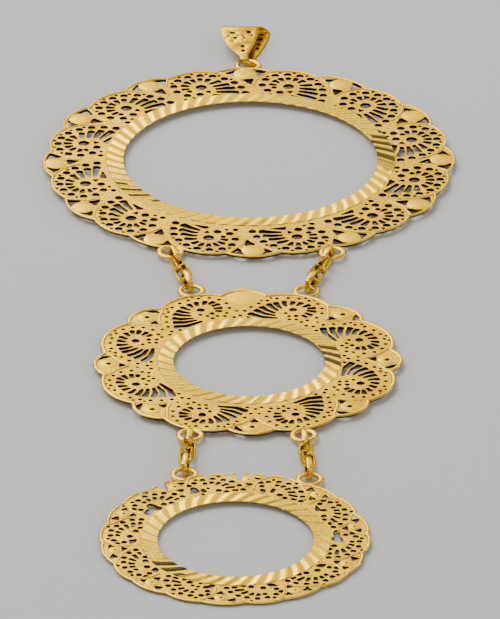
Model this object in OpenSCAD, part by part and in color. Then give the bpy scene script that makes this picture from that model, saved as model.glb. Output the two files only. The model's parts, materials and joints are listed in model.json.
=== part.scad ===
// Three-tier filigree pendant, lying face up on a surface: +Y runs up to the bail, +Z is the front

/* [Tiers] */
// Width of the large opening in the top tier
top_opening = 37; // [34:0.5:38]
// Width of the opening in the middle tier
mid_opening = 21.6; // [19:0.2:22]
// Width of the opening in the bottom tier
low_opening = 21.9; // [18:0.1:22]
// From the centre of the top opening down to the centre of the middle one
mid_drop = 63; // [62.9:0.05:63.1]
// From the centre of the top opening down to the centre of the bottom one
low_drop = 116.2; // [116.1:0.05:116.3]
// Height of the tiers over the surface: the links and the bail under their loops carry them
lift = 0.55; // [0.55:0.01:0.6]

/* [Sheet] */
// Thickness of the pierced sheet
sheet_t = 0.35; // [0.3:0.05:0.45]
// How far the rims and discs stand over the sheet
relief = 0.1; // [0.05:0.01:0.2]
// Width of the plain rim round each scallop
rim_w = 0.5; // [0.3:0.05:0.6]
// Thickness of the cut ring round each opening
ring_t = 0.5; // [0.5:0.05:0.8]

/* [Loops] */
// Width over all of a soldered loop
loop_d = 4.1; // [4:0.05:4.3]
// Width of the loop's wire
loop_wire = 0.9; // [0.7:0.05:0.95]
// Thickness of the loop's flattened wire
loop_t = 0.4; // [0.3:0.05:0.45]

/* [Links] */
// Length over all of a link
link_l = 3.75; // [3.73:0.01:3.8]
// Width over all of a link
link_w = 2.4; // [2.3:0.05:2.5]
// Thickness of the link's strip
link_t = 0.35; // [0.3:0.01:0.38]
// Width of the link's strip
link_strip = 0.85; // [0.75:0.05:0.9]
// Turn of the end links, measured from lying flat
link_turn = 84; // [83:1:86]

/* [Bail] */
// Width of the bail's leaf at its fold
bail_w = 5.3; // [4.8:0.05:5.6]
// Width of the tails
tail_w = 1.05; // [0.9:0.05:1.1]
// From the eye round the loop up to the fold, centre to centre
bail_reach = 9.25; // [8.85:0.1:9.65]
// Thickness of the strip
bail_t = 0.3; // [0.28:0.01:0.32]
// Height of the fold over all
fold_h = 2.3; // [2.1:0.1:2.6]
// How far the front leaf leans to the left of the back one, in degrees
bail_lean = 42; // [38:1:44]
// How far the fold and the back leaf lie up beyond the front leaf, in degrees
bail_slant = 37.5; // [34:0.5:40]

/* [Hidden] */
TOP = 0; MID = 1; LOW = 2;
OPENING = [top_opening, mid_opening, low_opening];
// Centre of each opening, from the centre of the top one
CENTRE = [[0, 0], [-0.19, -mid_drop], [-2.13, -low_drop]];
// The rosettes and discs lie round a centre a little below that of the opening
PATTERN = [[-0.25, -0.65], [-0.2, -0.25], [-0.05, -0.15]];
RING_W = [2.55, 2.4, 2.5];
COUNT = [12, 8, 10];

// Rosettes: radius and first angle of the centre holes, their width, and the scallops round them
HOLE_R = [24.75, 17.35, 14.8];
HOLE_TURN = [16.4, 23, -2.2];
HOLE_D = [1.35, 0.95, 0.85];
SCALLOP_TURN = [16.6, 23.2, -3.1];
SCALLOP_C = [22.3, 14.6, 12.7];
SCALLOP_R = [7.5, 7.6, 6.5];

// Discs: radius of their centres, first angle, width, and the scallops round them
DISC_C = [28.1, 20, 17.2];
DISC_TURN = [1.2, 1.8, 11.5];
DISC_D = [2.7, 2.4, 1.7];
DISC_SCALLOP_C = [22.9, 17.7, 11.7];
DISC_SCALLOP_R = [7.2, 4.5, 7.5];
// Radius of the sheet behind the scallops
SHEET_R = [25, 17.5, 15.5];

// Slots of one rosette, a row each: direction from outwards, inner and outer radius, inner and outer
// width, and how far the slot sweeps round
SLOTS = [
    [[-65, 1.6, 3.6, 0.45, 0.8, -5], [-96, 1.8, 4.3, 0.45, 0.85, 4], [-119, 2.25, 5, 0.45, 0.85, 10],
     [-140, 2.7, 6, 0.45, 0.9, 16]],
    [[161, 3.4, 6.4, 0.35, 0.75, -41], [146, 3.2, 5.65, 0.35, 0.7, -36], [134, 2.75, 4.9, 0.35, 0.65, -35]],
    [[106, 0.95, 2.1, 0.75, 0.6, 0]]
];
SLOT_STEPS = [2, 4, 1];

// Loops of each tier, as places from the centre of its opening
LOOPS = [
    [[-0.39, 30.4], [-11.6, -28.9], [11.8, -29.15]],
    [[-8.35, 21.9], [8.2, 21.7], [-8.4, -22.35], [7.75, -22.35]],
    [[-7.25, 19.05], [10.5, 17.6]]
];

// Chains: upper tier and its loop, lower tier and its loop, and which way the links turn
CHAINS = [[TOP, 1, MID, 0, 1], [TOP, 2, MID, 1, -1], [MID, 2, LOW, 0, 1], [MID, 3, LOW, 1, -1]];
CHAIN_NAMES = ["upper_left", "upper_right", "lower_left", "lower_right"];
CHAIN_LINKS = 4;

loop_hole = loop_d - 2 * loop_wire;
link_hole_l = link_l - 2 * link_t;
link_hole_w = link_w - 2 * link_t;
link_corner = 0.25;
rim_t = sheet_t + relief;
through = 6;

// Height of the end links' centres over the surface, and how much lower the inner links lie
link_z = link_w / 2 * sin(link_turn) + link_strip / 2 * cos(link_turn);
inner_drop = 0.08;

// The bottom tier leans on its lower edge: its slope carries the loops at the height of the lift
low_edge = -19.35;
low_slope = asin(lift / (LOOPS[LOW][0][1] - low_edge));

// The bail's round eye and fold, measured up from the centre of the top loop
eye_y = 1.15;
eye_r = 0.8;
fold_y = eye_y + bail_reach;
lean_level = 0.85;
fold_slope = tan(bail_slant) / cos(bail_lean);
bend_steps = 20;
// Holes of its two leaves, a row each: across, up, width
FRONT_HOLES = [[-2.25, 7.8, 0.8], [0.16, 8.05, 0.8], [-0.77, 4.15, 0.7]];
BACK_HOLES = [[2, 10.9, 0.8], [1.8, 9.35, 0.75], [1.5, 7.8, 0.65]];

// The origin is the middle of the whole, on the surface
end_up = LOOPS[TOP][0][1] + fold_y + fold_h / 2 * norm([1, fold_slope]);
end_down = CENTRE[LOW][1] + low_edge;
MIDDLE = [-0.22, (end_up + end_down) / 2];

colour = [0.87, 0.68, 0.32];

function polar(r, a) = [r * cos(a), r * sin(a)];
function turn_of(tier, i, first) = first + i * 360 / COUNT[tier];
function loop_place(tier, i) = CENTRE[tier] + LOOPS[tier][i];

// One side of a slot, from its inner end to its outer end
function slot_side(s, steps, side) = [for (i = [0 : steps]) let (f = i / steps, w = s[3] + (s[4] - s[3]) * f)
    polar(s[1] + (s[2] - s[1]) * f, s[0] + s[5] * f) + polar(side * w / 2, s[0] + s[5] * f + 90)];

module slot(s, steps) {
    polygon(concat(slot_side(s, steps, 1), [for (i = [steps : -1 : 0]) slot_side(s, steps, -1)[i]]));
}

module round_the_tier(tier, r, first) {
    translate(PATTERN[tier])
        for (i = [0 : COUNT[tier] - 1])
            rotate([0, 0, turn_of(tier, i, first)]) translate([r, 0]) children();
}

// The scalloped outline, drawn in from its edge by inset
module tier_outline(tier, inset) {
    translate(PATTERN[tier]) circle(r = SHEET_R[tier], $fn = 96);
    round_the_tier(tier, SCALLOP_C[tier], SCALLOP_TURN[tier])
        circle(r = SCALLOP_R[tier] - inset, $fn = 64);
    round_the_tier(tier, DISC_SCALLOP_C[tier], DISC_TURN[tier])
        circle(r = DISC_SCALLOP_R[tier] - inset, $fn = 64);
}

module rosette_holes(tier) {
    round_the_tier(tier, HOLE_R[tier], HOLE_TURN[tier]) {
        circle(d = HOLE_D[tier], $fn = 24);
        for (s = SLOTS[tier]) slot(s, SLOT_STEPS[tier]);
    }
}

module loop_holes(tier) {
    for (p = LOOPS[tier]) translate(p) circle(d = loop_hole, $fn = 32);
}

// The sheet with its gaps, as high as its rims and discs
module pierced_blank(tier) {
    linear_extrude(rim_t) difference() {
        tier_outline(tier, 0);
        circle(d = OPENING[tier] + RING_W[tier], $fn = 96);
        rosette_holes(tier);
        loop_holes(tier);
    }
}

// The ground between the rims and the discs, which lies lower
module sunk_ground(tier) {
    translate([0, 0, sheet_t]) linear_extrude(through) difference() {
        tier_outline(tier, rim_w);
        circle(d = OPENING[tier] + RING_W[tier], $fn = 96);
        round_the_tier(tier, DISC_C[tier], DISC_TURN[tier]) circle(d = DISC_D[tier], $fn = 32);
    }
}

// The cut ring, sloping down to its opening
module cut_ring(tier) {
    inner = OPENING[tier] / 2;
    slope = ring_t / 3;
    rotate_extrude($fn = 128) polygon([
        [inner, 0], [inner + RING_W[tier], 0], [inner + RING_W[tier], ring_t],
        [inner + RING_W[tier] / 2, ring_t], [inner, ring_t - slope]
    ]);
}

module soldered_loops(tier) {
    for (p = LOOPS[tier]) translate(p) difference() {
        cylinder(d = loop_d, h = loop_t, $fn = 48);
        translate([0, 0, -1]) cylinder(d = loop_hole, h = through, $fn = 32);
    }
}

module tier_solid(tier) {
    difference() {
        pierced_blank(tier);
        sunk_ground(tier);
    }
    cut_ring(tier);
    soldered_loops(tier);
}

module tier_place(tier) {
    translate([CENTRE[tier][0] - MIDDLE[0], CENTRE[tier][1] - MIDDLE[1], 0]) children();
}

module top_frame() {
    color(colour) tier_place(TOP) translate([0, 0, lift]) tier_solid(TOP);
}

module mid_frame() {
    color(colour) tier_place(MID) translate([0, 0, lift]) tier_solid(MID);
}

module bottom_frame() {
    color(colour) tier_place(LOW) translate([0, low_edge, 0]) rotate([low_slope, 0, 0])
        translate([0, -low_edge, 0]) tier_solid(LOW);
}

module rounded_oblong(l, w, r) {
    square([l - 2 * r, w], center = true);
    square([l, w - 2 * r], center = true);
    for (x = [-1, 1]) for (y = [-1, 1]) translate([x * (l / 2 - r), y * (w / 2 - r)]) circle(r = r, $fn = 32);
}

// A link along X, flat in the plane of X and Y
module link_shape() {
    translate([0, 0, -link_strip / 2]) linear_extrude(link_strip) difference() {
        rounded_oblong(link_l, link_w, link_corner + link_t);
        rounded_oblong(link_hole_l, link_hole_w, link_corner);
    }
}

// One link of a chain: the slack is shared among all its joins
module chain_link(chain, i) {
    from = loop_place(chain[0], chain[1]);
    to = loop_place(chain[2], chain[3]);
    span = to - from;
    slack = (loop_hole + CHAIN_LINKS * link_hole_l - norm(span)) / (CHAIN_LINKS + 1);
    along = loop_hole / 2 - slack + link_hole_l / 2 + i * (link_hole_l - slack);
    turn = link_turn + i * (360 - 2 * link_turn) / (CHAIN_LINKS - 1);
    inner = i > 0 && i < CHAIN_LINKS - 1;
    translate([from[0] - MIDDLE[0], from[1] - MIDDLE[1], link_z - (inner ? inner_drop : 0)])
        rotate([0, 0, atan2(span[1], span[0])]) translate([along, 0, 0])
            rotate([chain[4] * turn, 0, 0]) link_shape();
}

// From the round eye up to the fold and back, drawn in by inset
function bail_side(inset) = let (
    rise = fold_h / 2 - eye_r,
    up = atan2(rise, bail_reach),
    open = asin(rise / norm([bail_reach, rise]))
) concat(
    [for (i = [0 : bend_steps]) [eye_y, eye_r]
        + polar(eye_r - inset, up + 90 + open + i * (180 - 2 * open) / bend_steps)],
    [for (i = [0 : bend_steps]) let (
        bend = polar(fold_h / 2 - inset, up - 90 - open + i * (180 + 2 * open) / bend_steps)
    ) [fold_y - fold_slope * bend[1], fold_h / 2] + bend]
);

module bail_strip() {
    n = 2 * (bend_steps + 1);
    polygon(concat(bail_side(0), bail_side(bail_t)), [[for (i = [0 : n - 1]) i], [for (i = [0 : n - 1]) n + i]]);
}

// The leaf seen along its slant, which narrows in two arcs to the tails
module leaf_outline() {
    side_r = 15;
    widest = 8.8;
    half = bail_w / 2 * cos(bail_lean);
    tail = tail_w * cos(bail_lean);
    intersection() {
        translate([half - side_r, widest]) circle(r = side_r, $fn = 180);
        translate([side_r - half, widest]) circle(r = side_r, $fn = 180);
        translate([-bail_w, 1.6]) square([2 * bail_w, fold_y]);
    }
    translate([-tail / 2, -0.3]) square([tail, 2.9]);
}

module bail() {
    color(colour) translate([LOOPS[TOP][0][0] - MIDDLE[0], LOOPS[TOP][0][1] - MIDDLE[1], 0]) difference() {
        intersection() {
            translate([-bail_w, 0, 0]) rotate([90, 0, 90]) linear_extrude(2 * bail_w) bail_strip();
            translate([0, 0, lean_level]) rotate([bail_slant, -bail_lean, 0])
                translate([0, 0, -2 * through]) linear_extrude(4 * through) leaf_outline();
        }
        for (h = FRONT_HOLES) translate([h[0], h[1], fold_h / 2]) cylinder(d = h[2], h = through, $fn = 24);
        for (h = BACK_HOLES) translate([h[0], h[1], -through]) cylinder(d = h[2], h = through + eye_r, $fn = 24);
    }
}

bail();
top_frame();
mid_frame();
bottom_frame();
for (c = [0 : len(CHAINS) - 1]) for (i = [0 : CHAIN_LINKS - 1])
    color(colour) chain_link(CHAINS[c], i);
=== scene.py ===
"""A gold pendant of three pierced tiers on link chains, lying face up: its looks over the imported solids."""

import json
import logging
import math
from dataclasses import dataclass
from enum import Enum
from typing import Callable, Iterable, Sequence

import bpy
from mathutils import Matrix, Vector, noise

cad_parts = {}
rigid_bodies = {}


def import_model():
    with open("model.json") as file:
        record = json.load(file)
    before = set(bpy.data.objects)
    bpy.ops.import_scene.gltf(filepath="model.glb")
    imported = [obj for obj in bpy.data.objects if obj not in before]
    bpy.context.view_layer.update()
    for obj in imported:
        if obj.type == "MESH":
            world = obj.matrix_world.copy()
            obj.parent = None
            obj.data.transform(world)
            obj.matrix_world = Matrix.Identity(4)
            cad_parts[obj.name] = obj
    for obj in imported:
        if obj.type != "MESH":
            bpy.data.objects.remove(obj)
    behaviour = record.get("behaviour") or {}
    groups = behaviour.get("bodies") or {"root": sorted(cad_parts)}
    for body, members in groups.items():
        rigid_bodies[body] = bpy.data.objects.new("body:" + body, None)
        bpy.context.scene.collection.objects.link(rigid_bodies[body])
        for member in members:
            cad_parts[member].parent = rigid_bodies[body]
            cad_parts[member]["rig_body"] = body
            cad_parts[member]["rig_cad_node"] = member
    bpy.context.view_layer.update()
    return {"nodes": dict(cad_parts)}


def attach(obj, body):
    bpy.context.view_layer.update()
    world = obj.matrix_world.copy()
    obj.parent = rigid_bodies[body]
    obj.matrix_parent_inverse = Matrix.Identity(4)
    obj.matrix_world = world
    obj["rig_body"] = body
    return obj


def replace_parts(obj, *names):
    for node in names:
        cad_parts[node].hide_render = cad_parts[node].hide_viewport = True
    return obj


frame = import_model()

MM = 0.001
BODY = "root"
log = logging.getLogger("pendant")

Piece = bpy.types.Object
Material = bpy.types.Material
Socket = bpy.types.NodeSocket
Face = bpy.types.MeshPolygon
Point = tuple[float, float]
Pair = tuple[float, float]
Place = tuple[float, float, float]
Line = list[Point]
# A place across and outwards, or across and up, and the width of what is cut there
Station = tuple[float, float, float]
Colour = tuple[float, float, float]


def polar(radius: float, turn: float) -> Point:
    """Point at a radius and a turn in degrees from +X."""
    return radius * math.cos(math.radians(turn)), radius * math.sin(math.radians(turn))


def between(low: float, high: float, share: float) -> float:
    """Value at a share of the way from low to high."""
    return low + (high - low) * share


def moved(x: float, y: float, height: float = 0.0) -> Matrix:
    """A move, in millimetres."""
    return Matrix.Translation((x * MM, y * MM, height * MM))


class Bench:
    """The tools that every piece is made with: one piece is held at a time."""

    WELD = 1e-6

    @staticmethod
    def clear() -> None:
        """Put everything down."""
        if bpy.context.object and bpy.context.object.mode != "OBJECT":
            bpy.ops.object.mode_set(mode="OBJECT")
        bpy.ops.object.select_all(action="DESELECT")

    @staticmethod
    def take(piece: Piece) -> Piece:
        """Select one piece alone and make it active.

        Args:
            piece: the object to work on.

        Returns:
            The same object.
        """
        Bench.clear()
        piece.select_set(True)
        bpy.context.view_layer.objects.active = piece
        return piece

    @staticmethod
    def edit(piece: Piece) -> None:
        """Take a piece into edit mode with all of it selected.

        Args:
            piece: the object to work on.
        """
        Bench.take(piece)
        bpy.ops.object.mode_set(mode="EDIT")
        bpy.ops.mesh.select_all(action="SELECT")

    @staticmethod
    def leave() -> None:
        """Leave edit mode."""
        bpy.ops.object.mode_set(mode="OBJECT")

    @staticmethod
    def draw_up(step: float, grow: float | None = None, height: float = 0.0) -> None:
        """Extrude the selected edges upwards and widen or narrow them round the axis.

        Args:
            step: how far up, in millimetres.
            grow: their new width over the old one, or None to leave it.
            height: of the point that they grow from, in millimetres.
        """
        bpy.ops.mesh.extrude_edges_move(TRANSFORM_OT_translate={"value": (0, 0, step * MM)})
        if grow is not None:
            bpy.ops.transform.resize(value=(grow, grow, 1), center_override=(0, 0, height * MM))

    @staticmethod
    def open_edges() -> None:
        """Select only the edges round openings."""
        bpy.ops.mesh.select_all(action="DESELECT")
        bpy.ops.mesh.select_non_manifold()

    @staticmethod
    def modify(piece: Piece, kind: str, **settings: object) -> None:
        """Add one modifier and apply it.

        Args:
            piece: the object to work on.
            kind: Blender's name of the modifier's type.
            settings: values of the modifier.
        """
        Bench.take(piece)
        modifier = piece.modifiers.new(kind.title(), kind)
        for key, value in settings.items():
            setattr(modifier, key, value)
        bpy.ops.object.modifier_apply(modifier=modifier.name)

    @staticmethod
    def settle(piece: Piece, place: Matrix) -> Piece:
        """Move a piece to its place and leave the place in its mesh.

        Args:
            piece: the object, as it was made.
            place: where it goes.

        Returns:
            The same object, which then sits at the origin.
        """
        Bench.take(piece)
        piece.matrix_world = place @ piece.matrix_world
        bpy.ops.object.transform_apply(location=True, rotation=True, scale=True)
        return piece

    @staticmethod
    def copy(piece: Piece, name: str) -> Piece:
        """Copy a piece with a mesh of its own.

        Args:
            piece: the object to copy.
            name: the copy's name.

        Returns:
            The copy.
        """
        Bench.take(piece)
        bpy.ops.object.duplicate(linked=False)
        twin = bpy.context.object
        twin.name = name
        return twin

    @staticmethod
    def join(pieces: Sequence[Piece], name: str) -> Piece:
        """Join several pieces into one.

        Args:
            pieces: the objects to join.
            name: the name of the whole.

        Returns:
            The joined object.
        """
        Bench.take(pieces[0])
        for piece in pieces[1:]:
            piece.select_set(True)
        if len(pieces) > 1:
            bpy.ops.object.join()
        whole = bpy.context.object
        whole.name = whole.data.name = name
        return whole

    @staticmethod
    def weld(piece: Piece) -> None:
        """Merge points that lie together and turn the faces outwards.

        Args:
            piece: the object to weld.
        """
        Bench.edit(piece)
        bpy.ops.mesh.remove_doubles(threshold=Bench.WELD)
        bpy.ops.mesh.normals_make_consistent(inside=False)
        Bench.leave()

    @staticmethod
    def smooth(piece: Piece, angle: float) -> None:
        """Shade a piece smooth except over edges sharper than angle, in degrees."""
        Bench.take(piece)
        bpy.ops.object.shade_smooth_by_angle(angle=math.radians(angle))

    @staticmethod
    def tone(piece: Piece, shade: Callable[[Face], float]) -> None:
        """Mark how dark each face of a piece is.

        Args:
            piece: the object to mark.
            shade: gives a face's tone, from 0 for clean metal to 1 for the full dark colour of tarnish and
                painted shade.
        """
        marks = piece.data.attributes.new("tone", "FLOAT", "FACE")
        for face, mark in zip(piece.data.polygons, marks.data):
            mark.value = shade(face)

    @staticmethod
    def dress(piece: Piece, material: Material, slot: str) -> Piece:
        """Give a piece its finish and let it ride on the pendant.

        Args:
            piece: the finished object.
            material: its finish.
            slot: not used.

        Returns:
            The same object.
        """
        piece.data.materials.clear()
        piece.data.materials.append(material)
        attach(piece, BODY)
        return piece


class FlatWork:
    """Closed or open lines drawn flat, one unit to the millimetre, which become plate or wire."""

    WIRE_ROUNDNESS = 3

    def __init__(self, name: str, filled: bool) -> None:
        """Start a drawing.

        Args:
            name: the piece's name.
            filled: plate with holes if true, wire if false.
        """
        self.curve = bpy.data.curves.new(name, "CURVE")
        self.curve.dimensions = "2D" if filled else "3D"
        self.curve.fill_mode = "BOTH" if filled else "FULL"
        self.piece = bpy.data.objects.new(name, self.curve)
        bpy.context.scene.collection.objects.link(self.piece)

    def line(self, points: Iterable[Point], closed: bool = True, girth: float = 1.0) -> None:
        """Draw one line, for wire at a share of its full girth.

        Args:
            points: along the line.
            closed: whether its ends meet.
            girth: thickness of this wire, 1 for the drawing's full width.
        """
        points = list(points)
        spline = self.curve.splines.new("POLY")
        spline.points.add(len(points) - 1)
        for spot, (x, y) in zip(spline.points, points):
            spot.co = (x, y, 0.0, 1.0)
            spot.radius = girth
        spline.use_cyclic_u = closed

    def plate(self, thickness: float, edge: float, eaten: float) -> Piece:
        """Fill the lines and give the plate its thickness and broken edges.

        Args:
            thickness: of the plate, in millimetres, from height 0 up.
            edge: width of the broken edges, in millimetres.
            eaten: how far the plate stays back from its lines, in millimetres.

        Returns:
            The plate as a mesh.
        """
        self.curve.extrude = thickness / 2 - edge
        self.curve.bevel_depth = edge
        self.curve.bevel_resolution = 0
        self.curve.offset = -edge - eaten
        return self._mesh(moved(0, 0, thickness / 2) @ Matrix.Scale(MM, 4))

    def wire(self, width: float, height: float) -> Piece:
        """Draw wire along the lines.

        Args:
            width: of the wire, in millimetres.
            height: of the wire, which may be flattened.

        Returns:
            The wire as a mesh.
        """
        self.curve.bevel_depth = width / 2
        self.curve.bevel_resolution = self.WIRE_ROUNDNESS
        self.curve.use_fill_caps = True
        return self._mesh(Matrix.Diagonal((MM, MM, MM * height / width, 1)))

    def _mesh(self, place: Matrix) -> Piece:
        """Turn the drawing into a closed mesh.

        Args:
            place: where it goes, and its scale from drawing units to metres.

        Returns:
            The mesh object.
        """
        Bench.take(self.piece)
        bpy.ops.object.convert(target="MESH")
        Bench.settle(self.piece, place)
        Bench.weld(self.piece)
        return self.piece


class Palette:
    """Adds nodes to one material, all of them on the object's own coordinates."""

    def __init__(self, material: Material) -> None:
        """Start with the material's shader.

        Args:
            material: the material, which has nodes.
        """
        self.nodes, self.links = material.node_tree.nodes, material.node_tree.links
        self.shader = self.nodes["Principled BSDF"]
        self.place = self.nodes.new("ShaderNodeTexCoord").outputs["Object"]

    def noise(self, scale: float, detail: float) -> Socket:
        """Add noise.

        Args:
            scale: its cells to the metre.
            detail: how many finer layers it has.

        Returns:
            The noise's value.
        """
        made = self.nodes.new("ShaderNodeTexNoise")
        made.inputs["Scale"].default_value = scale
        made.inputs["Detail"].default_value = detail
        self.links.new(self.place, made.inputs["Vector"])
        return made.outputs["Fac"]

    def upright(self) -> Socket:
        """Add a measure of how far a face looks up or down.

        Returns:
            1 for a level face and 0 for a wall.
        """
        parts = self.nodes.new("ShaderNodeSeparateXYZ")
        self.links.new(self.nodes.new("ShaderNodeNewGeometry").outputs["Normal"], parts.inputs["Vector"])
        made = self.nodes.new("ShaderNodeMath")
        made.operation = "ABSOLUTE"
        self.links.new(parts.outputs["Z"], made.inputs[0])
        return made.outputs["Value"]

    def spread(self, value: Socket, source: Pair, target: Pair) -> Socket:
        """Map a value from one range to another, without going past its ends.

        Args:
            value: the value to map.
            source: the range that it comes from.
            target: the range that it goes to.

        Returns:
            The mapped value.
        """
        made = self.nodes.new("ShaderNodeMapRange")
        for key, number in zip(("From Min", "From Max", "To Min", "To Max"), (*source, *target)):
            made.inputs[key].default_value = number
        self.links.new(value, made.inputs["Value"])
        return made.outputs["Result"]

    def towards(self, shown: Colour | Socket, colour: Colour, share: Socket) -> Socket:
        """Mix a colour in by a share that varies over the surface.

        Args:
            shown: what the surface shows so far.
            colour: what is mixed in.
            share: how much of it.

        Returns:
            The mixed colour.
        """
        made = self.nodes.new("ShaderNodeMix")
        made.data_type = "RGBA"
        made.inputs["B"].default_value = (*colour, 1)
        self.links.new(share, made.inputs["Factor"])
        if isinstance(shown, tuple):
            made.inputs["A"].default_value = (*shown, 1)
        else:
            self.links.new(shown, made.inputs["A"])
        return made.outputs["Result"]

    def bump(self, value: Socket, strength: float, height: float) -> Socket:
        """Add a fine relief.

        Args:
            value: the relief's pattern.
            strength: how much of it shows.
            height: of the relief, in millimetres.

        Returns:
            The surface's normal.
        """
        made = self.nodes.new("ShaderNodeBump")
        made.inputs["Strength"].default_value = strength
        made.inputs["Distance"].default_value = height * MM
        self.links.new(value, made.inputs["Height"])
        return made.outputs["Normal"]


@dataclass(frozen=True)
class Gold:
    """A finish of yellow gold.

    The metal's colour drifts between bright and deep, and its surface has a fine grain. Walls that face
    sideways can carry painted shade, near black, and a piece may carry its own tone for each face, which
    mostly paints shade and dark reflections. A thin film over the metal takes the orange out of its dark
    places.
    """

    name: str
    bright: Colour
    deep: Colour
    roughness: float
    grain: float
    grain_mm: float
    painted_wall_shade: float = 0.0
    specks: float = 0.0
    toned: bool = False
    # Colour of the painted shade on walls that face sideways
    wall_shade_colour: Colour = (0.006, 0.003, 0.001)
    # Colour of the tarnish specks and of each face's tone, which is mostly painted shade and dark reflection
    stain_and_shade: Colour = (0.03, 0.018, 0.004)
    glance: Colour = (1.0, 0.84, 0.36)
    film: float = 0.2
    film_roughness: float = 0.35
    # Each noise: its cells to the metre, and how many finer layers it has
    drift: Pair = (260.0, 3.0)
    speck: Pair = (2100.0, 2.0)
    wear: Pair = (900.0, 4.0)
    grain_detail: float = 3.0
    grain_height: float = 0.03
    # The range of a noise or of a face's direction that is used, and the least and most of the roughness
    noise_range: Pair = (0.3, 0.7)
    speck_range: Pair = (0.54, 0.7)
    wall_range: Pair = (0.5, 0.9)
    wear_shares: Pair = (0.75, 1.3)

    def material(self) -> Material:
        """Build the material.

        Returns:
            The material.
        """
        made = bpy.data.materials.new(self.name)
        made.use_nodes = True
        palette = Palette(made)
        shader, links = palette.shader, palette.links
        shader.inputs["Metallic"].default_value = 1.0
        shader.inputs["Specular Tint"].default_value = (*self.glance, 1)
        shader.inputs["Coat Weight"].default_value = self.film
        shader.inputs["Coat Roughness"].default_value = self.film_roughness

        drift = palette.spread(palette.noise(*self.drift), self.noise_range, (0, 1))
        shown = palette.towards(self.deep, self.bright, drift)
        if self.specks:
            speck = palette.noise(*self.speck)
            spotted = palette.spread(speck, self.speck_range, (0, self.specks))
            shown = palette.towards(shown, self.stain_and_shade, spotted)
        # Each face's tone paints shade and dark reflections, and on the cut rings a random unevenness
        if self.toned:
            tone = palette.nodes.new("ShaderNodeAttribute")
            tone.attribute_name = "tone"
            shown = palette.towards(shown, self.stain_and_shade, tone.outputs["Fac"])
        # Painted shade: walls that face sideways turn near black, and the broken edges about half way
        if self.painted_wall_shade:
            wall = palette.spread(palette.upright(), self.wall_range, (self.painted_wall_shade, 0))
            shown = palette.towards(shown, self.wall_shade_colour, wall)
        links.new(shown, shader.inputs["Base Color"])

        worn = tuple(self.roughness * share for share in self.wear_shares)
        wear = palette.spread(palette.noise(*self.wear), self.noise_range, worn)
        links.new(wear, shader.inputs["Roughness"])
        fine = palette.noise(1 / MM / self.grain_mm, self.grain_detail)
        links.new(palette.bump(fine, self.grain, self.grain_height), shader.inputs["Normal"])
        return made


@dataclass(frozen=True)
class PaleFloor:
    """The matt pale surface that the pendant lies on."""

    colour: Colour = (0.7, 0.695, 0.68)
    roughness: float = 0.9

    def material(self) -> Material:
        """Build the material.

        Returns:
            The material.
        """
        made = bpy.data.materials.new("pale_floor")
        made.use_nodes = True
        shader = made.node_tree.nodes["Principled BSDF"]
        shader.inputs["Base Color"].default_value = (*self.colour, 1)
        shader.inputs["Roughness"].default_value = self.roughness
        return made


class Finish(Enum):
    """The finishes of the pendant."""

    # The sheet's walls carry painted shade
    SHEET = Gold(
        "pierced_gold", (0.97, 0.57, 0.02), (0.72, 0.39, 0.012), 0.32, 0.9, 0.5, painted_wall_shade=1.0, specks=0.5
    )
    RIM = Gold("rim_gold", (1.0, 0.66, 0.07), (0.94, 0.56, 0.035), 0.24, 0.15, 0.3)
    DISC = Gold("disc_gold", (0.98, 0.62, 0.006), (0.9, 0.53, 0.004), 0.34, 0.3, 0.5, specks=0.15)
    CUT = Gold("cut_gold", (1.0, 0.64, 0.035), (0.9, 0.53, 0.02), 0.24, 0.25, 0.4, toned=True)
    LINK = Gold("link_gold", (1.0, 0.65, 0.05), (0.93, 0.55, 0.025), 0.22, 0.15, 0.3, toned=True)
    BAIL = Gold("bail_gold", (0.93, 0.55, 0.01), (0.83, 0.46, 0.006), 0.28, 0.25, 0.3, toned=True, film=0.12)

    def material(self) -> Material:
        """The finish's material, made once."""
        found = bpy.data.materials.get(self.value.name)
        return found or self.value.material()


# The holes are charted at half the brightness between metal and gap, so the cutter opens them a little
OPEN_ROUND = 1.14
OPEN_SLOT = 1.3
OPEN_PATCH = 1.16
# How far a slot's broad ends are drawn in before its tips, as a share of its width
SLOT_TRIM = 0.22
# Round holes up to this width have fewer sides
SMALL_WIDTH = 0.5
SMALL_SIDES = 8


@dataclass(frozen=True)
class Round:
    """A round hole: across, outwards, width, in millimetres from the rosette's or disc's centre."""

    across: float
    out: float
    width: float
    sides: int = 12

    def outline(self) -> Line:
        """The hole's edge."""
        spots = (polar(self.width / 2 * OPEN_ROUND, 360 * i / self.sides) for i in range(self.sides))
        return [(self.across + x, self.out + y) for x, y in spots]


@dataclass(frozen=True)
class Slot:
    """A long hole through some stations, each across, outwards and width."""

    stations: tuple[Station, ...]

    def outline(self) -> Line:
        """Draw the hole's edge, with pointed ends that the cutter rounds.

        Returns:
            The edge, along one side and back along the other.
        """
        path = self.stations
        left, right = [], []
        for i, (x, y, width) in enumerate(path):
            ahead, behind = path[min(i + 1, len(path) - 1)], path[max(i - 1, 0)]
            way = Vector((ahead[0] - behind[0], ahead[1] - behind[1])).normalized()
            side = Vector((-way.y, way.x)) * width / 2 * OPEN_SLOT
            trim = way * width * SLOT_TRIM * ((i == 0) - (i == len(path) - 1))
            left.append((x + side.x + trim.x, y + side.y + trim.y))
            right.append((x - side.x + trim.x, y - side.y + trim.y))
        first, last = path[0], path[-1]
        return [*left, last[:2], *reversed(right), first[:2]]


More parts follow.
